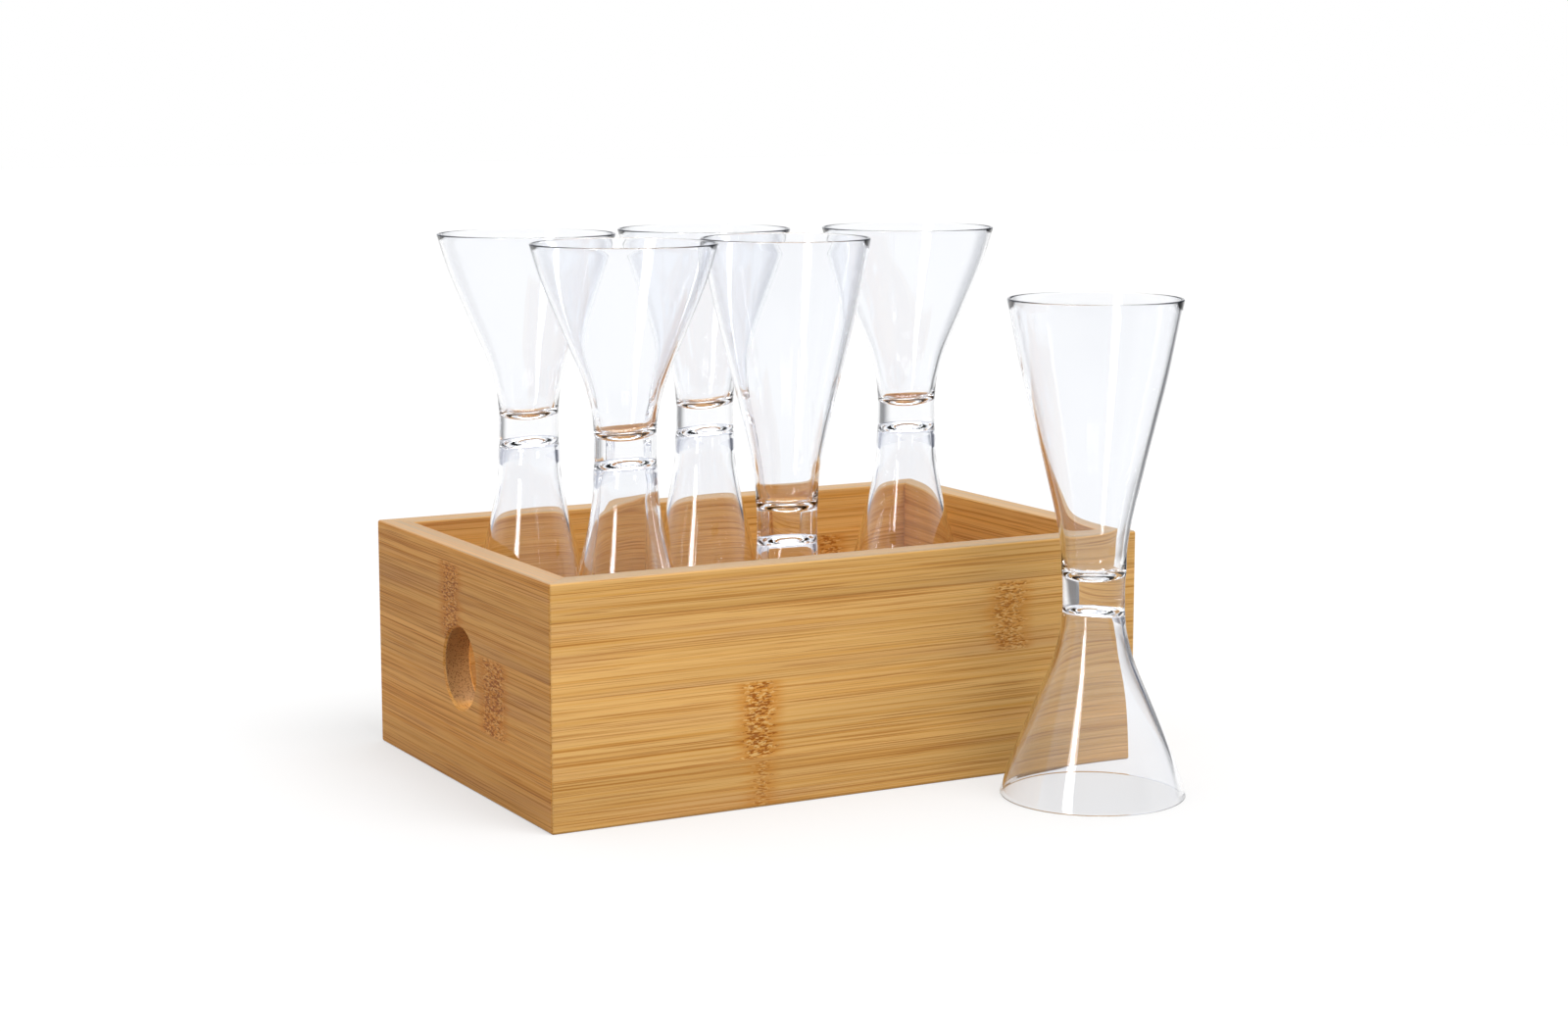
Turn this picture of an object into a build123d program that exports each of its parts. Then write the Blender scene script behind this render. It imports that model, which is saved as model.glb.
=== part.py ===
"""Bamboo caddy with six double-ended tasting glasses.

The caddy is an open box of four mitred bamboo boards round a floor board that sits in a groove.
Each end board has a round finger hole. Every glass is one piece of clear glass: a tall cone and a
short cone, mouth to mouth with the outside, joined by a solid neck. Five glasses stand in the caddy,
and the sixth stands on the table in front of it.

Millimetres, +Z up, +X along the caddy's length, +Y to its back. Everything is drawn about the
caddy's middle, and save() moves it so that the origin is on the table under the middle of the set,
the sixth glass included.
"""

import os

from build123d import *

# Caddy
BOX_LENGTH = 202.0
BOX_WIDTH = 136.0
BOX_HEIGHT = 73.0
WALL = 9.0
EDGE_ROUND = 0.8
MITRE_GAP = 0.05
FLOOR_THICKNESS = 6.0
FLOOR_UNDERSIDE = 10.0
GROOVE_DEPTH = 4.0
GROOVE_PLAY = 0.1
FLOOR_SIDE_PLAY = 0.4
FINGER_HOLE = 25.0
FINGER_HOLE_CHAMFER = 0.8

# Glass, with its tall cone up
GLASS_HEIGHT = 150.0
TALL_RIM_RADIUS = 25.5
SHORT_RIM_RADIUS = 27.75
TALL_HEIGHT = 82.0
SHORT_HEIGHT = 56.0
TALL_FLARE = [(13.0, 10.2), (33.5, 14.8), (60.5, 21.4)]  # height from the neck, radius
SHORT_FLARE = [(7.0, 9.6), (15.5, 11.9), (29.0, 17.7), (44.0, 23.6)]
TALL_RIM_SLOPE = 0.17
SHORT_RIM_SLOPE = 0.28
NECK_SLOPE = 0.03
NECK_RADIUS = 9.3
WAIST_RADIUS = 9.0
GLASS_WALL = 1.5
BEAD = 2.0
BEAD_RUN = 3.0
BOWL_FLOOR = 0.8
DISH_DEPTH = 2.2
STANDING_GAP = 0.05

# Where each glass stands from the caddy's middle: x, y, and whether its tall cone is up
GLASSES = {
    "glass_back_left": (-63.0, 32.0, False),
    "glass_front_left": (-59.0, -30.5, False),
    "glass_back_middle": (-0.5, 32.0, False),
    "glass_front_middle": (-2.5, -28.5, True),
    "glass_right": (62.5, 9.0, False),
    "glass_taken_out": (62.5, -101.5, True),
}
TAKEN_OUT = "glass_taken_out"

os.makedirs("parts", exist_ok=True)

floor_top = FLOOR_UNDERSIDE + FLOOR_THICKNESS
set_front = GLASSES[TAKEN_OUT][1] - SHORT_RIM_RADIUS
set_middle = (set_front + BOX_WIDTH / 2) / 2


def save(piece, name):
    """Move a finished piece from the caddy's middle to the set's, label it and write its STEP file."""
    moved = piece.part.moved(Location((0, -set_middle, 0)))
    moved.label = name
    export_step(moved, f"parts/{name}.step")


# The four walls as one ring, which the mitres then part into boards.
with BuildPart() as walls:
    with BuildSketch():
        Rectangle(BOX_LENGTH, BOX_WIDTH)
        Rectangle(BOX_LENGTH - 2 * WALL, BOX_WIDTH - 2 * WALL, mode=Mode.SUBTRACT)
    extrude(amount=BOX_HEIGHT)
    corner_edges = walls.edges().filter_by(Axis.Z).sort_by(lambda e: -abs(e.center().X))[0:4]
    fillet(corner_edges, EDGE_ROUND)
    rim_edges = walls.faces().sort_by(Axis.Z)[-1].edges()
    foot_edges = walls.faces().sort_by(Axis.Z)[0].outer_wire().edges()
    fillet(rim_edges + foot_edges, EDGE_ROUND)
    with BuildSketch(Plane.XY.offset(FLOOR_UNDERSIDE - GROOVE_PLAY)):
        Rectangle(
            BOX_LENGTH - 2 * (WALL - GROOVE_DEPTH),
            BOX_WIDTH - 2 * (WALL - GROOVE_DEPTH),
        )
    extrude(amount=FLOOR_THICKNESS + 2 * GROOVE_PLAY, mode=Mode.SUBTRACT)
    with BuildSketch(Plane.YZ.offset(-BOX_LENGTH / 2)):
        with Locations((0, BOX_HEIGHT / 2)):
            Circle(FINGER_HOLE / 2)
    extrude(amount=BOX_LENGTH, mode=Mode.SUBTRACT)
    hole_edges = walls.edges().filter_by(
        lambda e: e.geom_type == GeomType.CIRCLE and abs(e.radius - FINGER_HOLE / 2) < 0.01
    )
    chamfer(hole_edges, FINGER_HOLE_CHAMFER)


def mitred_board(length, width):
    """The wall along -Y of a ring of this length and width, cut at 45 degrees at both ends."""
    inset = MITRE_GAP / 2 * 2**0.5
    outside, inside = -1.0, WALL + 1.0
    x, y = length / 2 - inset, -width / 2
    return [
        (-x + outside, y + outside),
        (x - outside, y + outside),
        (x - inside, y + inside),
        (-x + inside, y + inside),
    ]


def board(turn, length, width):
    """One board of the walls: the ring, cut by a mitred wedge turned about Z."""
    with BuildPart() as cut:
        add(walls.part)
        with BuildSketch(Plane.XY.rotated((0, 0, turn))):
            with BuildLine():
                Polyline(*mitred_board(length, width), close=True)
            make_face()
        extrude(amount=BOX_HEIGHT, mode=Mode.INTERSECT)
    return cut


save(board(0, BOX_LENGTH, BOX_WIDTH), "front_board")
save(board(180, BOX_LENGTH, BOX_WIDTH), "back_board")
save(board(-90, BOX_WIDTH, BOX_LENGTH), "left_end_board")
save(board(90, BOX_WIDTH, BOX_LENGTH), "right_end_board")

# The floor board, loose in the groove by the play on each side.
with BuildPart() as floor_board:
    with BuildSketch(Plane.XY.offset(FLOOR_UNDERSIDE)):
        Rectangle(
            BOX_LENGTH - 2 * (WALL - GROOVE_DEPTH + FLOOR_SIDE_PLAY),
            BOX_WIDTH - 2 * (WALL - GROOVE_DEPTH + FLOOR_SIDE_PLAY),
        )
    extrude(amount=FLOOR_THICKNESS)
save(floor_board, "floor_board")


def cone_side(from_neck, neck_z, rise, rim_slope, inset=0.0):
    """A cone's side from the neck to the rim, as one smooth curve through (height, radius) points.

    It leaves the neck nearly upright, flares, and eases off at the rim. inset moves it inwards.
    """
    points = [(radius - inset, neck_z + rise * height) for height, radius in from_neck]
    return Spline(*points, tangents=[(NECK_SLOPE, rise), (rim_slope, rise)])


def bowl(flare, rim_radius, rim_slope, rim_z, neck_z):
    """Outline of one bowl, from the outside of the neck round the rim and down to the axis inside."""
    rise = 1 if rim_z > neck_z else -1
    height = abs(rim_z - neck_z)
    half_bead = BEAD / 2
    bead_z = rim_z - rise * half_bead
    outside = [(0, NECK_RADIUS), *flare, (height - half_bead, rim_radius)]
    cone_side(outside, neck_z, rise, rim_slope)
    ThreePointArc(
        (rim_radius, bead_z),
        (rim_radius - half_bead, rim_z),
        (rim_radius - BEAD, bead_z),
    )
    bead_foot = (height - BEAD_RUN, rim_radius - BEAD_RUN * rim_slope)
    inside = [(BOWL_FLOOR, NECK_RADIUS), *flare, bead_foot]
    cone_side(inside, neck_z, rise, rim_slope, inset=GLASS_WALL)
    inner_rim = (bead_foot[1] - GLASS_WALL, neck_z + rise * bead_foot[0])
    Line((rim_radius - BEAD, bead_z), inner_rim)
    corner = (NECK_RADIUS - GLASS_WALL, neck_z + rise * BOWL_FLOOR)
    dish = (0, neck_z + rise * (BOWL_FLOOR - DISH_DEPTH))
    Spline(corner, dish, tangents=[(-NECK_SLOPE, -rise), (-1, 0)])
    return dish


def glass(x, y, stands_on, tall_up):
    """One glass: its outline on an upright plane, turned about its own axis."""
    if tall_up:
        upright = Plane(origin=(x, y, stands_on), x_dir=(1, 0, 0), z_dir=(0, -1, 0))
    else:
        upright = Plane(origin=(x, y, stands_on + GLASS_HEIGHT), x_dir=(1, 0, 0), z_dir=(0, 1, 0))
    tall_neck_z = GLASS_HEIGHT - TALL_HEIGHT
    with BuildPart() as turned:
        with BuildSketch(upright):
            with BuildLine():
                tall_dish = bowl(
                    TALL_FLARE, TALL_RIM_RADIUS, TALL_RIM_SLOPE, GLASS_HEIGHT, tall_neck_z
                )
                short_dish = bowl(
                    SHORT_FLARE, SHORT_RIM_RADIUS, SHORT_RIM_SLOPE, 0, SHORT_HEIGHT
                )
                ThreePointArc(
                    (NECK_RADIUS, SHORT_HEIGHT),
                    (WAIST_RADIUS, (SHORT_HEIGHT + tall_neck_z) / 2),
                    (NECK_RADIUS, tall_neck_z),
                )
                Line(short_dish, tall_dish)
            make_face()
        revolve(axis=Axis((x, y, 0), (0, 0, 1)))
    return turned


for name, (x, y, tall_up) in GLASSES.items():
    stands_on = 0.0 if name == TAKEN_OUT else floor_top + STANDING_GAP
    save(glass(x, y, stands_on, tall_up), name)
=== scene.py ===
"""Looks for the bamboo caddy with six double-ended tasting glasses.

The boards are the CAD parts with a bamboo material made from nodes: edge-glued strips, fine
fibres, knuckle bands, end grain in the finger holes. The glasses are lathed here, finer than the
CAD ones: thin cones, round lips, and a solid neck between two dished bottoms. As in hand-worked
glass, each dish is a little tilted, and two glasses lean a little.

Metres in the CAD frame: +X along the caddy, +Y to its back, +Z up, and the table at z = 0. Sizes
that belong to one board or one glass are in millimetres, and places on the caddy are from its
middle.
"""

import math

import bpy
import numpy as np
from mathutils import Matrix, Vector


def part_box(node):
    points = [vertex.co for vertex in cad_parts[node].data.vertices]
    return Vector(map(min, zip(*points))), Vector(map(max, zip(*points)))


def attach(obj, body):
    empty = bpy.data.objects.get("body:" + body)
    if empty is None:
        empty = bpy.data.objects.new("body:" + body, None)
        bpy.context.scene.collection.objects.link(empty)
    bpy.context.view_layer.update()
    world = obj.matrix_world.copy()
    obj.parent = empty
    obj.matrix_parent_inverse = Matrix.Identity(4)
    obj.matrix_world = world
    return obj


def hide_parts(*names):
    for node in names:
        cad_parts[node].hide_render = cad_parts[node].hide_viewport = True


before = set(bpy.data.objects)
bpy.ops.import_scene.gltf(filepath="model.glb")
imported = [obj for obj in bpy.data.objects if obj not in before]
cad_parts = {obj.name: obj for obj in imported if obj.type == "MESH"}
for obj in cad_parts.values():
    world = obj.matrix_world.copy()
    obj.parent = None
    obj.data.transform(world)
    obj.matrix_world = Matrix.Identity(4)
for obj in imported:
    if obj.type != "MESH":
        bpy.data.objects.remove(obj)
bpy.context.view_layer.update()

MM = 0.001
caddy_low, caddy_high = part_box("floor_board")
CADDY_MIDDLE = Vector(((caddy_low.x + caddy_high.x) / 2, (caddy_low.y + caddy_high.y) / 2, 0.0))

# Camera, from the caddy's middle
CAMERA_PLACE = Vector((-0.4251, -0.8003, 0.2146))
CAMERA_YAW = 28.62  # degrees, from +Y towards +X
CAMERA_DOWN = 8.70  # degrees
CAMERA_LENS = 65.97
SENSOR = 36.0
yaw = math.radians(CAMERA_YAW)
LOOKS = Vector((math.sin(yaw), math.cos(yaw), 0.0))  # level, the way the camera looks
ACROSS = Vector((math.cos(yaw), -math.sin(yaw), 0.0))  # level, to the camera's right

# Glasses: node, body, whether the tall cone is up, tilt of the upper and lower dish in degrees,
# how much lower in its outline the tall cone's dish lies, and how far the top leans to the
# camera's right, mm
GLASSES = (
    ("glass_back_left", "back_left_glass", False, 3.0, 6.0, 1.7, 0.0),
    ("glass_front_left", "front_left_glass", False, 5.0, 6.0, 1.7, 0.0),
    ("glass_back_middle", "back_middle_glass", False, 5.0, 8.0, 1.7, 0.0),
    ("glass_front_middle", "front_middle_glass", True, 2.0, 4.0, 0.0, -0.8),
    ("glass_right", "right_glass", False, 3.0, 3.0, 1.7, 0.0),
    ("glass_taken_out", "taken_out_glass", True, 1.5, -3.0, 0.0, -1.4),
)
GLASS_HEIGHT = 150.0
SEGMENTS = 160  # round a glass
STEPS = 7  # between two points of its outline
ON_AXIS = 1e-6  # a smaller radius is one point on the axis, mm
TILT_FADE = 9.0  # how far along its cone a dish's tilt reaches, mm

# Half outline of a glass with its tall cone up: (height, radius), mm
SHORT_OUTSIDE = (
    (0.5, 28.0), (12.1, 24.3), (26.9, 18.2), (40.5, 12.5), (49.4, 10.1), (54.6, 9.5),
)
NECK = ((59.0, 9.3), (66.0, 9.4), (68.6, 9.7))
TALL_OUTSIDE = (
    (74.0, 9.8), (81.2, 10.7), (88.5, 12.2), (101.4, 15.3), (115.4, 18.8), (128.7, 22.0),
    (149.5, 26.1),
)
TALL_INSIDE = (
    (149.5, 25.2), (128.7, 20.9), (115.4, 17.6), (101.4, 14.1), (88.5, 10.9), (79.0, 9.1),
    (71.4, 8.3),
)
TALL_DISH = ((68.6, 7.6), (66.8, 5.8), (65.7, 3.0), (65.4, 0.0))
SHORT_DISH = ((58.7, 0.0), (58.4, 3.0), (57.5, 5.6), (56.1, 7.4))
SHORT_INSIDE = (
    (54.0, 8.1), (49.4, 8.9), (40.5, 11.2), (26.9, 17.0), (12.1, 23.2), (0.5, 27.1),
)
BEAD = 0.45  # height of the round lip, mm
BEAD_STEPS = 8


def srgb(red, green, blue):
    """A colour given as 0 to 255 display values, as linear values."""
    def linear(value):
        value /= 255
        return value / 12.92 if value <= 0.04045 else ((value + 0.055) / 1.055) ** 2.4
    return (linear(red), linear(green), linear(blue), 1.0)


# -------------------------------------------------------------------------------------- node tools
class Tree:
    """Short ways to add nodes to one tree. Every call returns an output socket."""

    def __init__(self, tree):
        self.tree = tree

    def node(self, kind, values=(), **settings):
        made = self.tree.nodes.new(kind)
        for name, value in settings.items():
            setattr(made, name, value)
        for key, value in dict(values).items():
            self.feed(made.inputs[key], value)
        return made

    def feed(self, socket, value):
        if isinstance(value, bpy.types.NodeSocket):
            self.tree.links.new(value, socket)
        else:
            socket.default_value = value

    def math(self, operation, *values, clamp=False):
        made = self.node("ShaderNodeMath", operation=operation, use_clamp=clamp)
        for socket, value in zip(made.inputs, values):
            self.feed(socket, value)
        return made.outputs[0]

    def step(self, value, low, high):
        """0 below low to 1 above high, smoothly; high may be under low."""
        made = self.node("ShaderNodeMapRange", interpolation_type="SMOOTHSTEP")
        for name, given in (("Value", value), ("From Min", low), ("From Max", high)):
            self.feed(made.inputs[name], given)
        return made.outputs["Result"]

    def between(self, value, low, low_full, high_full, high):
        """1 from low_full to high_full, and smoothly down to 0 at low and at high."""
        rise, fall = self.step(value, low, low_full), self.step(value, high, high_full)
        return self.math("MULTIPLY", rise, fall)

    def mix(self, share, low, high):
        made = self.node("ShaderNodeMix", data_type="RGBA")
        self.feed(made.inputs["Factor"], share)
        self.feed(made.inputs[6], low)
        self.feed(made.inputs[7], high)
        return made.outputs[2]

    def dot(self, place, direction):
        made = self.node("ShaderNodeVectorMath", {0: place, 1: direction}, operation="DOT_PRODUCT")
        return made.outputs["Value"]

    def minus(self, place, origin):
        made = self.node("ShaderNodeVectorMath", {0: place, 1: origin}, operation="SUBTRACT")
        return made.outputs[0]

    def times(self, value, factor):
        """The product of two vectors or colours, part by part."""
        made = self.node("ShaderNodeVectorMath", {0: value, 1: factor}, operation="MULTIPLY")
        return made.outputs[0]

    def vector(self, x, y, z):
        return self.node("ShaderNodeCombineXYZ", {"X": x, "Y": y, "Z": z}).outputs[0]

    def noise(self, place, stretch, detail=2.0, roughness=0.55):
        """Noise with about stretch cells to one unit of place, on each axis."""
        scaled = self.times(place, stretch)
        made = self.node(
            "ShaderNodeTexNoise",
            {"Vector": scaled, "Scale": 1.0, "Detail": detail, "Roughness": roughness},
        )
        return made.outputs["Fac"]


# -------------------------------------------------------------------------------------------- wood
WOOD_LIGHT = srgb(223, 176, 106)
WOOD_GOLD = srgb(207, 149, 68)
WOOD_PINK = srgb(207, 160, 107)
WOOD_LINE = srgb(172, 112, 46)
KNUCKLE_DARK = srgb(146, 76, 12)
KNUCKLE_HALO = srgb(198, 126, 36)
KNUCKLE_LIGHT = srgb(232, 196, 128)
RIM_COLOUR = srgb(164, 144, 117)
END_GRAIN = srgb(178, 132, 82)
END_PORE = srgb(116, 74, 40)
HOLE_RADIUS = 12.5
HOLE_HEIGHT = 36.5
STRIP_APART = 41.7  # how far apart in the noise two strips of a board lie, mm
BOARD_APART = 13.1  # and two boards
STRIP_CONTRAST = 0.09
GLUE_LINE = (0.3, 0.05)  # half its width where it ends and where it is full, mm
WOBBLE = 13.0  # how far a knuckle's edge wanders in all, mm
HALO = 10.0  # how far its halo reaches at most, mm
WOOD_RELIEF = 0.00006
WOOD_SHEEN = 0.12


def bamboo(
    name, along, across, seams, knuckles, seed,
    rim_height=None, hole=False, contrast=1.0, tint=(1.0, 1.0, 1.0),
):
    """A bamboo board. along and across are its axes, 0 to 2, and seams where its glue lines lie.

    knuckles are bands across one strip: place along the board, half width, lowest and highest
    place across it, and how dark. tint scales the board's colour; on the back board it is painted
    shade and on the right end board painted light.
    """
    material = bpy.data.materials.new(name)
    material.use_nodes = True
    material.node_tree.nodes.clear()
    t = Tree(material.node_tree)
    place = t.node("ShaderNodeTexCoord").outputs["Object"]
    mm = t.times(t.minus(place, CADDY_MIDDLE), (1000.0,) * 3)
    parts = t.node("ShaderNodeSeparateXYZ", {0: mm}).outputs
    u, v, w = parts[along], parts[across], parts[3 - along - across]

    strip = 0.0
    for seam in seams:
        strip = t.math("ADD", strip, t.math("GREATER_THAN", v, seam))
    shifted = t.math("ADD", w, t.math("MULTIPLY_ADD", strip, STRIP_APART, seed * BOARD_APART))
    grain = t.vector(u, v, shifted)

    # Fibres: tone, streaks, fine lines and short dark pores, all drawn out along the board
    tone = t.noise(grain, (0.004, 0.07, 0.09), 2.0)
    streak = t.noise(grain, (0.0035, 0.9, 0.5), 4.0, 0.65)
    fine = t.noise(grain, (0.009, 1.6, 1.5), 2.0, 0.7)
    pore = t.noise(grain, (0.03, 3.0, 2.6), 1.0, 0.5)
    patch = t.noise(grain, (0.008, 0.16, 0.2), 2.0)

    golden = t.math("MULTIPLY", t.step(streak, 0.40, 0.70), 0.8 * contrast, clamp=True)
    colour = t.mix(golden, WOOD_LIGHT, WOOD_GOLD)
    colour = t.mix(t.math("MULTIPLY", t.step(patch, 0.5, 0.72), 0.55), colour, WOOD_PINK)
    line_share = t.math("MULTIPLY", t.step(fine, 0.47, 0.70), 0.7 * contrast)
    colour = t.mix(line_share, colour, WOOD_LINE)
    pore_share = t.math("MULTIPLY", t.step(pore, 0.58, 0.70), 0.4 * contrast)
    colour = t.mix(pore_share, colour, KNUCKLE_DARK)
    shade = t.math("MULTIPLY_ADD", t.math("SUBTRACT", tone, 0.5), 0.5, 1.0)
    strip_seed = t.math("ADD", strip, seed)
    strip_tone = t.node("ShaderNodeTexWhiteNoise", {"W": strip_seed}, noise_dimensions="1D")
    shade = t.math("SUBTRACT", shade, STRIP_CONTRAST / 2)
    shade = t.math("MULTIPLY_ADD", strip_tone.outputs["Value"], STRIP_CONTRAST, shade)

    # Glue lines
    lines = 0.0
    for seam in seams:
        away = t.math("ABSOLUTE", t.math("SUBTRACT", v, seam))
        lines = t.math("MAXIMUM", lines, t.step(away, *GLUE_LINE))
    colour = t.mix(t.math("MULTIPLY", lines, 0.5), colour, WOOD_LINE)

    # Knuckles: short dark and light teeth in a band, with a warm halo along the fibres
    teeth_dark = t.noise(grain, (0.50, 1.8, 0.8), 1.5, 0.6)
    teeth_light = t.noise(t.vector(v, u, shifted), (1.8, 0.6, 0.8), 1.5, 0.6)
    ragged = t.noise(grain, (0.0, 0.8, 0.3), 2.0)
    wobble = t.math("MULTIPLY_ADD", ragged, WOBBLE, -WOBBLE / 2)
    halo_reach = t.math("MULTIPLY", ragged, HALO)
    teeth_height = 0.0
    for centre, half, low, high, depth in knuckles:
        away = t.math("ABSOLUTE", t.math("SUBTRACT", t.math("ADD", u, wobble), centre))
        inside = t.math("MULTIPLY", t.step(v, low, low + 1.2), t.step(v, high, high - 1.2))
        band = t.math("MULTIPLY", t.step(away, half + 1.0, half - 2.0), inside)
        halo_end = t.math("ADD", half, halo_reach)
        halo = t.math("MULTIPLY", t.step(away, halo_end, half - 1.0), inside)
        colour = t.mix(t.math("MULTIPLY", halo, 0.65 * depth), colour, KNUCKLE_HALO)
        light = t.math("MULTIPLY", t.step(teeth_light, 0.5, 0.57), band)
        colour = t.mix(t.math("MULTIPLY", light, 0.6 * depth), colour, KNUCKLE_LIGHT)
        dark = t.math("MULTIPLY", t.step(teeth_dark, 0.5, 0.57), band)
        colour = t.mix(t.math("MULTIPLY", dark, 0.85 * depth), colour, KNUCKLE_DARK)
        teeth_height = t.math("ADD", teeth_height, dark)

    # The tint: painted shade on the back board and painted light on the right end board
    colour = t.times(colour, tint)

    # The cut edge along the rim is paler and greyer than the faces
    normal = t.node("ShaderNodeNewGeometry").outputs["Normal"]
    facing = t.node("ShaderNodeSeparateXYZ", {0: normal}).outputs
    if rim_height is not None:
        on_top = t.step(parts[2], rim_height - 1.5, rim_height - 1.0)
        rim = t.math("MULTIPLY", t.step(facing[2], 0.45, 0.85), on_top)
        rim_tone = t.mix(t.step(fine, 0.4, 0.75), RIM_COLOUR, WOOD_PINK)
        colour = t.mix(t.math("MULTIPLY", rim, 0.85), colour, rim_tone)

    # End grain on the wall of a finger hole: pale, stippled with the cut ends of the fibres
    stipple = 0.0
    if hole:
        up = t.math("SUBTRACT", v, HOLE_HEIGHT)
        reach = t.math("SQRT", t.math("ADD", t.math("MULTIPLY", u, u), t.math("MULTIPLY", up, up)))
        in_hole = t.step(reach, HOLE_RADIUS + 0.25, HOLE_RADIUS + 0.05)
        cut = t.math("MULTIPLY", in_hole, t.step(t.math("ABSOLUTE", facing[along]), 0.15, 0.6))
        cells = t.node(
            "ShaderNodeTexVoronoi",
            {"Vector": t.vector(0.0, v, w), "Scale": 1.9, "Randomness": 1.0},
        )
        dots = t.step(cells.outputs["Distance"], 0.46, 0.26)
        wall = t.mix(t.math("MULTIPLY", dots, 0.8), END_GRAIN, END_PORE)
        colour = t.mix(cut, colour, wall)
        stipple = t.math("MULTIPLY", dots, cut)

    colour = t.times(colour, t.vector(shade, shade, shade))
    pits = t.math("MULTIPLY", t.step(pore, 0.58, 0.72), -0.5)
    height = t.math("MULTIPLY_ADD", fine, -0.6, pits)
    height = t.math("SUBTRACT", height, t.math("MULTIPLY", lines, 0.7))
    height = t.math("SUBTRACT", height, t.math("MULTIPLY", teeth_height, 0.6))
    height = t.math("SUBTRACT", height, stipple)
    bump = t.node("ShaderNodeBump", {"Strength": 0.6, "Distance": WOOD_RELIEF, "Height": height})
    roughness = t.math("MULTIPLY_ADD", fine, 0.2, 0.42)
    shader = t.node(
        "ShaderNodeBsdfPrincipled",
        {
            "Base Color": colour,
            "Roughness": roughness,
            "Normal": bump.outputs[0],
            "Specular IOR Level": WOOD_SHEEN,
        },
    )
    t.node("ShaderNodeOutputMaterial", {"Surface": shader.outputs[0]})
    return material


def dress(node, material):
    """Give a CAD node this material in every slot."""
    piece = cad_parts[node]
    for slot in piece.material_slots:
        slot.material = material


caddy_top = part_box("front_board")[1].z / MM
dress("front_board", bamboo(
    "bamboo_front", 0, 2, (14.6, 38.7, 61.3),
    ((-33.8, 5.0, 14.6, 38.7, 1.0), (-33.0, 2.5, 0.0, 14.6, 0.7), (53.8, 5.5, 38.7, 61.3, 0.75)),
    seed=1.0, rim_height=caddy_top, tint=(1.05, 1.05, 1.09),
))
dress("left_end_board", bamboo(
    "bamboo_left", 1, 2, (19.7, 43.8, 68.6),
    ((6.5, 6.0, 43.8, 68.6, 0.95), (-26.0, 8.0, 19.7, 43.8, 0.95)),
    seed=2.0, rim_height=caddy_top, hole=True, contrast=1.2, tint=(1.08, 0.94, 0.79),
))
# The back board's tint is painted shade: it darkens the board, whose inner side shows inside the
# box
dress("back_board", bamboo(
    "bamboo_back", 0, 2, (10.2, 33.9, 57.4),
    ((61.0, 5.0, 33.9, 57.4, 0.8), (-12.0, 5.0, 10.2, 33.9, 0.7)),
    seed=3.0, rim_height=caddy_top, tint=(0.95, 0.93, 0.90),
))
# The right end board's tint is painted light: it brightens the board, whose inner side shows
# inside the box
dress("right_end_board", bamboo(
    "bamboo_right", 1, 2, (23.5, 47.0),
    ((31.0, 6.0, 23.5, 47.0, 0.8),),
    seed=4.0, rim_height=caddy_top, hole=True, tint=(1.13, 1.13, 1.10),
))
dress("floor_board", bamboo(
    "bamboo_floor_board", 0, 1, (-48.0, -24.5, -1.0, 22.5, 46.0),
    ((18.0, 5.0, -24.5, -1.0, 0.7), (-70.0, 5.0, 22.5, 46.0, 0.7), (76.0, 5.0, -48.0, -24.5, 0.6)),
    seed=5.0,
))


# ------------------------------------------------------------------------------------------- glass
GLASS_IOR = 1.5
GLASS_TINTS = ((0.974, 0.980, 0.993, 1.0), (0.960, 0.970, 0.988, 1.0))
WAVES = (38.0, 38.0, 14.0)
WAVE_RELIEF = 0.00012
SHADE_IN_BOX = 0.945
SHADE_TAKEN_OUT = 0.82


def clear_glass(name, shade):
    """Clear glass with a faint cool tint and the slight waviness of hand-worked glass.

    shade is what each surface lets through of the light that falls on things behind the glass.
    """
    material = bpy.data.materials.new(name)
    material.use_nodes = True
    material.node_tree.nodes.clear()
    t = Tree(material.node_tree)
    place = t.node("ShaderNodeTexCoord").outputs["Object"]
    wave = t.noise(place, WAVES, 1.0, 0.4)
    bump = t.node("ShaderNodeBump", {"Strength": 0.35, "Distance": WAVE_RELIEF, "Height": wave})
    tint = t.mix(wave, *GLASS_TINTS)
    shader = t.node(
        "ShaderNodeBsdfPrincipled",
        {
            "Base Color": tint,
            "Roughness": 0.0,
            "IOR": GLASS_IOR,
            "Transmission Weight": 1.0,
            "Normal": bump.outputs[0],
        },
    )
    clear = t.node("ShaderNodeBsdfTransparent", {"Color": (shade, shade, shade, 1.0)})
    rays = t.node("ShaderNodeLightPath").outputs
    light_ray = t.math("MAXIMUM", rays["Is Shadow Ray"], rays["Is Diffuse Ray"])
    shader, clear = shader.outputs[0], clear.outputs[0]
    both = t.node("ShaderNodeMixShader", {0: light_ray, 1: shader, 2: clear}).outputs[0]
    t.node("ShaderNodeOutputMaterial", {"Surface": both})
    return material


def through(points, steps=STEPS):
    """A smooth line through the points: a Catmull-Rom curve with steps pieces to each span."""
    p = [np.array(point, float) for point in points]
    p = [2 * p[0] - p[1], *p, 2 * p[-1] - p[-2]]
    line = []
    for a, b, c, d in zip(p, p[1:], p[2:], p[3:]):
        for k in range(steps):
            s = k / steps
            line.append(
                0.5
                * (
                    2 * b
                    + (c - a) * s
                    + (2 * a - 5 * b + 4 * c - d) * s**2
                    + (3 * b - a - 3 * c + d) * s**3
                )
            )
    line.append(p[-2])
    return line


def bead(start, end):
    """The rounded lip between the outside and the inside of a cone, as a half round."""
    start, end = np.array(start, float), np.array(end, float)
    middle = (start + end) / 2
    arm = start - middle
    lip = 1 if start[0] > GLASS_HEIGHT / 2 else -1
    line = []
    for k in range(1, BEAD_STEPS):
        angle = math.pi * k / BEAD_STEPS
        line.append(middle + arm * math.cos(angle) + np.array([lip * BEAD, 0]) * math.sin(angle))
    return line


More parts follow.
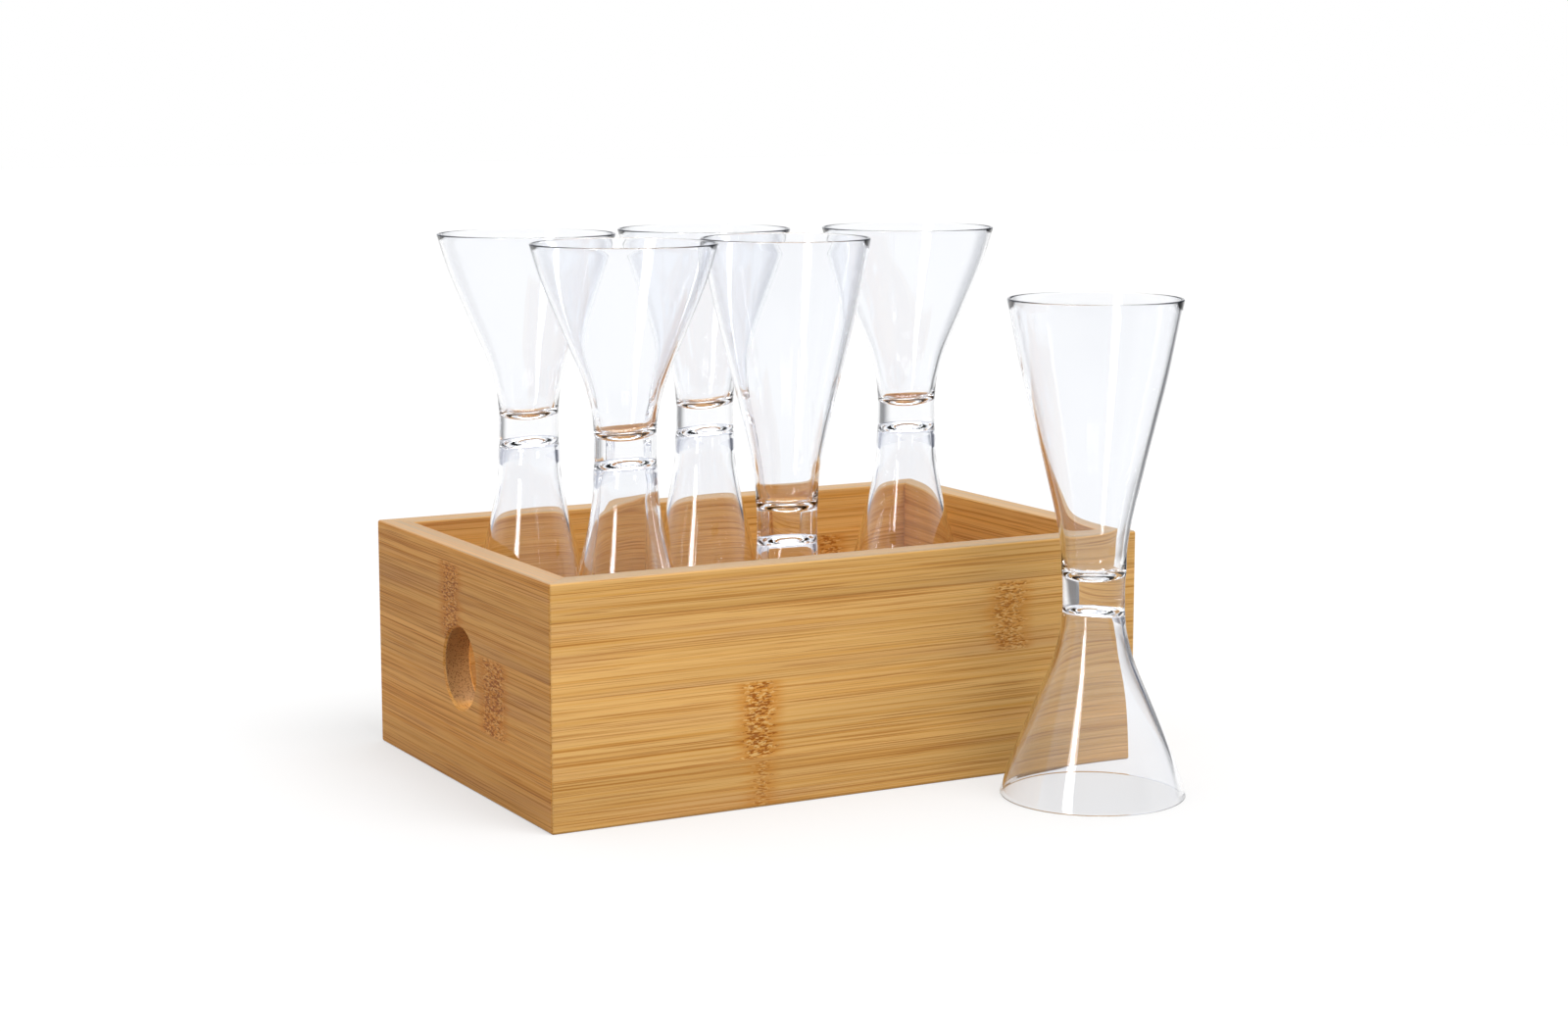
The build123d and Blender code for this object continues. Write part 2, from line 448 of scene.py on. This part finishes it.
def outline():
    """Half outline of a glass from the middle of its upper dish, round outside, to the lower one.

    Returns rows of height, radius and share of the upper and of the lower dish's tilt.
    """
    upper = through(tuple(reversed(TALL_DISH)) + tuple(reversed(TALL_INSIDE)))
    outer = through(tuple(reversed(SHORT_OUTSIDE + NECK + TALL_OUTSIDE)))
    lower = through(tuple(reversed(SHORT_DISH + SHORT_INSIDE)))
    upper_lip = bead(upper[-1], outer[0])
    lower_lip = bead(outer[-1], lower[0])
    line = [*upper, *upper_lip, *outer, *lower_lip, *lower]
    rows = []
    for k, (height, radius) in enumerate(line):
        in_upper = k < len(upper)
        in_lower = k >= len(line) - len(lower)
        above, below = height - TALL_DISH[0][0], SHORT_DISH[-1][0] - height
        up = max(0.0, 1 - max(0.0, above) / TILT_FADE) if in_upper else 0.0
        down = max(0.0, 1 - max(0.0, below) / TILT_FADE) if in_lower else 0.0
        rows.append((height, max(0.0, radius), up, down))
    return rows


def lathe(name, node, tall_up, upper_tilt, lower_tilt, drop, top_lean):
    """One glass, turned about the axis of its CAD node."""
    low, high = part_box(node)
    axis = Vector(((low.x + high.x) / 2, (low.y + high.y) / 2, low.z))
    slope_up = math.tan(math.radians(upper_tilt))
    slope_down = math.tan(math.radians(lower_tilt))
    if not tall_up:
        slope_up, slope_down = slope_down, slope_up
    verts, faces = [], []
    rows = outline()
    for height, radius, up, down in rows:
        flat = radius < ON_AXIS
        for k in range(1 if flat else SEGMENTS):
            turn = 2 * math.pi * k / SEGMENTS
            x, y = radius * math.cos(turn), radius * math.sin(turn)
            tilt = (x * ACROSS.x + y * ACROSS.y) * (up * slope_up + down * slope_down)
            z = height - drop * up
            z = (z if tall_up else GLASS_HEIGHT - z) + tilt
            x += top_lean * ACROSS.x * z / GLASS_HEIGHT
            y += top_lean * ACROSS.y * z / GLASS_HEIGHT
            verts.append((axis.x + x * MM, axis.y + y * MM, axis.z + z * MM))
    ring = 1
    last = len(verts) - 1
    for k in range(SEGMENTS):
        faces.append((0, ring + k, ring + (k + 1) % SEGMENTS))
    for _ in range(len(rows) - 3):
        for k in range(SEGMENTS):
            a, b = ring + k, ring + (k + 1) % SEGMENTS
            faces.append((a, a + SEGMENTS, b + SEGMENTS, b))
        ring += SEGMENTS
    for k in range(SEGMENTS):
        faces.append((last, ring + (k + 1) % SEGMENTS, ring + k))
    mesh = bpy.data.meshes.new(name)
    mesh.from_pydata(verts, [], faces if tall_up else [tuple(reversed(f)) for f in faces])
    mesh.shade_smooth()
    piece = bpy.data.objects.new(name, mesh)
    bpy.context.scene.collection.objects.link(piece)
    return piece


in_box = clear_glass("clear_glass_in_box", SHADE_IN_BOX)
taken_out = clear_glass("clear_glass_taken_out", SHADE_TAKEN_OUT)
for node, body, tall_up, upper_tilt, lower_tilt, drop, top_lean in GLASSES:
    piece = lathe(node + "_drawn", node, tall_up, upper_tilt, lower_tilt, drop, top_lean)
    piece.data.materials.append(taken_out if node == "glass_taken_out" else in_box)
    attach(piece, body)
    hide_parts(node)

# ------------------------------------------------------------------------------------------- stage
FLOOR_SIDE = 12.0
FLOOR_PALE = (0.36, 0.36, 0.36, 1.0)
FLOOR_DARK = (0.03, 0.032, 0.04, 1.0)
FLOOR_GLOW = 0.53
# Where the floor is dark in the glass: cosines of the turn from the way the camera looks (none,
# full, full, none), how far to the right it starts and is full, and the same towards the camera
DARK_SECTOR = (0.30, 0.55, 0.70, 0.92)
DARK_RIGHT = (0.14, 0.25)
DARK_NEAR = (-0.18, -0.6)
NEAR_SHARE = 0.55
DARKEST = 0.82

scene = bpy.context.scene
bpy.ops.mesh.primitive_plane_add(size=FLOOR_SIDE, location=(0, 0, 0))
floor = bpy.context.active_object
floor.name = "studio_floor"
floor_material = bpy.data.materials.new("studio_floor")
floor_material.use_nodes = True
floor_material.node_tree.nodes.clear()
t = Tree(floor_material.node_tree)
rays = t.node("ShaderNodeLightPath").outputs
ground = t.minus(t.node("ShaderNodeTexCoord").outputs["Object"], CADDY_MIDDLE)
to_right = t.dot(ground, ACROSS)
to_back = t.dot(ground, LOOKS)
away = t.node("ShaderNodeVectorMath", {0: ground}, operation="LENGTH").outputs["Value"]
# Only in glass and reflections, the floor is dark in a sector to the camera's right, and only in
# reflections also darker near the camera. Both draw the edges of the glasses
sector = t.between(t.math("DIVIDE", to_back, away), *DARK_SECTOR)
dark_right = t.math("MULTIPLY", t.step(to_right, *DARK_RIGHT), sector)
in_glass = t.math("MAXIMUM", rays["Is Glossy Ray"], rays["Is Transmission Ray"])
dark_right = t.math("MULTIPLY", dark_right, in_glass)
dark_near = t.math("MULTIPLY", t.step(to_back, *DARK_NEAR), NEAR_SHARE)
dark_near = t.math("MULTIPLY", dark_near, rays["Is Glossy Ray"])
dark = t.math("MULTIPLY", t.math("MAXIMUM", dark_right, dark_near), DARKEST)
kept = t.math("SUBTRACT", 1.0, dark)
# It glows for the eye but not for the boards, so that it is white and doesn't light them
glow = t.math("MULTIPLY_ADD", rays["Is Diffuse Ray"], -FLOOR_GLOW, FLOOR_GLOW)
glow = t.math("MULTIPLY", glow, kept)
paper = t.node(
    "ShaderNodeBsdfPrincipled",
    {
        "Base Color": t.mix(kept, FLOOR_DARK, FLOOR_PALE),
        "Roughness": 0.9,
        "Specular IOR Level": 0.0,
        "Emission Color": (1.0, 1.0, 1.0, 1.0),
        "Emission Strength": glow,
    },
)
t.node("ShaderNodeOutputMaterial", {"Surface": paper.outputs[0]})
floor.data.materials.append(floor_material)

# World: white for the camera, light from above for the boards, and a studio with a dark flag on
# each side for what the glasses reflect and bend. Turns are in degrees from the way the camera
# looks (none, full, full, none), and a height is the up part of a direction (none, full).
ROOM = (0.80, 0.82, 0.88, 1.0)
ROOM_REFLECTED = (0.44, 0.46, 0.53, 1.0)
CEILING = (0.88, 0.90, 0.95, 1.0)
LEFT_FLAG = (0.46, 0.48, 0.56, 1.0)
RIGHT_FLAG = (0.11, 0.12, 0.16, 1.0)
BACKDROP = (0.97, 0.975, 1.0, 1.0)
WHITE = (1.0, 1.0, 1.0, 1.0)
LEFT_TURNS = (-56.0, -44.0, -30.0, -16.0)
RIGHT_TURNS = (13.0, 25.0, 44.0, 56.0)
FLAG_HEIGHT = (0.45, 0.25)
CEILING_HEIGHT = (0.2, 0.8)
CAMERA_SIDE = (-0.1, -0.5)  # how far ahead: the side behind the camera
BACKDROP_AHEAD = (0.955, 0.98)
AMBIENT_SIDE = 0.14
AMBIENT_ABOVE = 1.22  # added straight above

world = bpy.data.worlds.new("studio")
scene.world = world
world.use_nodes = True
world.node_tree.nodes.clear()
t = Tree(world.node_tree)
direction = t.node("ShaderNodeTexCoord").outputs["Generated"]
ahead = t.dot(direction, LOOKS)
right = t.dot(direction, ACROSS)
up = t.node("ShaderNodeSeparateXYZ", {0: direction}).outputs[2]
turn = t.math("DEGREES", t.math("ARCTAN2", right, ahead))
low = t.step(t.math("ABSOLUTE", up), *FLAG_HEIGHT)
right_side = t.math("MULTIPLY", t.between(turn, *RIGHT_TURNS), low)
left_side = t.math("MULTIPLY", t.between(turn, *LEFT_TURNS), low)
room = t.mix(t.step(up, *CEILING_HEIGHT), ROOM, CEILING)
rays = t.node("ShaderNodeLightPath").outputs
camera_side = t.mix(rays["Is Glossy Ray"], ROOM, ROOM_REFLECTED)
room = t.mix(t.math("MULTIPLY", t.step(ahead, *CAMERA_SIDE), low), room, camera_side)
room = t.mix(left_side, room, LEFT_FLAG)
room = t.mix(right_side, room, RIGHT_FLAG)
room = t.mix(t.step(ahead, *BACKDROP_AHEAD), room, BACKDROP)
studio = t.node("ShaderNodeBackground", {"Color": room, "Strength": 1.0})
from_above = t.math("MULTIPLY_ADD", t.math("MAXIMUM", up, 0.0), AMBIENT_ABOVE, AMBIENT_SIDE)
ambient = t.node("ShaderNodeBackground", {"Color": WHITE, "Strength": from_above})
white = t.node("ShaderNodeBackground", {"Color": WHITE, "Strength": 1.0})
studio, ambient, white = studio.outputs[0], ambient.outputs[0], white.outputs[0]
lit = t.node("ShaderNodeMixShader", {0: rays["Is Diffuse Ray"], 1: studio, 2: ambient}).outputs[0]
both = t.node("ShaderNodeMixShader", {0: rays["Is Camera Ray"], 1: lit, 2: white}).outputs[0]
t.node("ShaderNodeOutputWorld", {"Surface": both})


def aim(lamp, place, target):
    """Put a lamp at a place, shining at a target."""
    lamp.location = place
    lamp.rotation_euler = (Vector(target) - Vector(place)).to_track_quat("-Z", "Y").to_euler()


def studio_place(turn, elevation, distance):
    """A place round the caddy. Its turn is in degrees, from the camera's side to its right."""
    a = math.radians(turn - CAMERA_YAW)
    e = math.radians(elevation)
    away = Vector((math.sin(a) * math.cos(e), -math.cos(a) * math.cos(e), math.sin(e)))
    return away * distance


MIDDLE = CADDY_MIDDLE + Vector((0.0, -0.02, 0.07))  # what the lamps are aimed at

SUN_TURN, SUN_ELEVATION, SUN_DISTANCE = 52, 54, 2.0
SUN_ENERGY = 1.8
SUN_ANGLE = 40  # degrees

sun_data = bpy.data.lights.new("key_light", "SUN")
sun_data.energy = SUN_ENERGY
sun_data.angle = math.radians(SUN_ANGLE)
sun = bpy.data.objects.new("key_light", sun_data)
scene.collection.objects.link(sun)
aim(sun, MIDDLE + studio_place(SUN_TURN, SUN_ELEVATION, SUN_DISTANCE), MIDDLE)
sun.visible_glossy = False
sun.visible_transmission = False

# Strips that only the glasses reflect: name, turn, elevation, distance, width, height, power
STRIPS = (
    ("strip_left", -34, 25, 1.60, 0.15, 1.0, 8.5),
    ("strip_left_edge", -34, 25, 1.64, 0.36, 1.2, 7.5),
    ("panel_above", 180, 62, 1.8, 1.1, 0.7, 26.0),
)
for name, turn, elevation, distance, width, height, power in STRIPS:
    data = bpy.data.lights.new(name, "AREA")
    data.shape = "RECTANGLE"
    data.size = width
    data.size_y = height
    data.energy = power
    lamp = bpy.data.objects.new(name, data)
    scene.collection.objects.link(lamp)
    aim(lamp, MIDDLE + studio_place(turn, elevation, distance), MIDDLE)
    lamp.visible_camera = False
    lamp.visible_diffuse = False

# ------------------------------------------------------------------------------------------ camera
camera_data = bpy.data.cameras.new("camera")
camera_data.sensor_width = SENSOR
camera_data.lens = CAMERA_LENS
camera = bpy.data.objects.new("camera", camera_data)
scene.collection.objects.link(camera)
camera.location = CADDY_MIDDLE + CAMERA_PLACE
camera.rotation_euler = (math.radians(90 - CAMERA_DOWN), 0, math.radians(-CAMERA_YAW))
scene.camera = camera

scene.view_settings.view_transform = "Standard"
scene.cycles.max_bounces = 32
scene.cycles.transmission_bounces = 32
scene.cycles.transparent_max_bounces = 32
scene.cycles.glossy_bounces = 8
scene.cycles.diffuse_bounces = 4
scene.cycles.caustics_refractive = False
scene.cycles.caustics_reflective = False
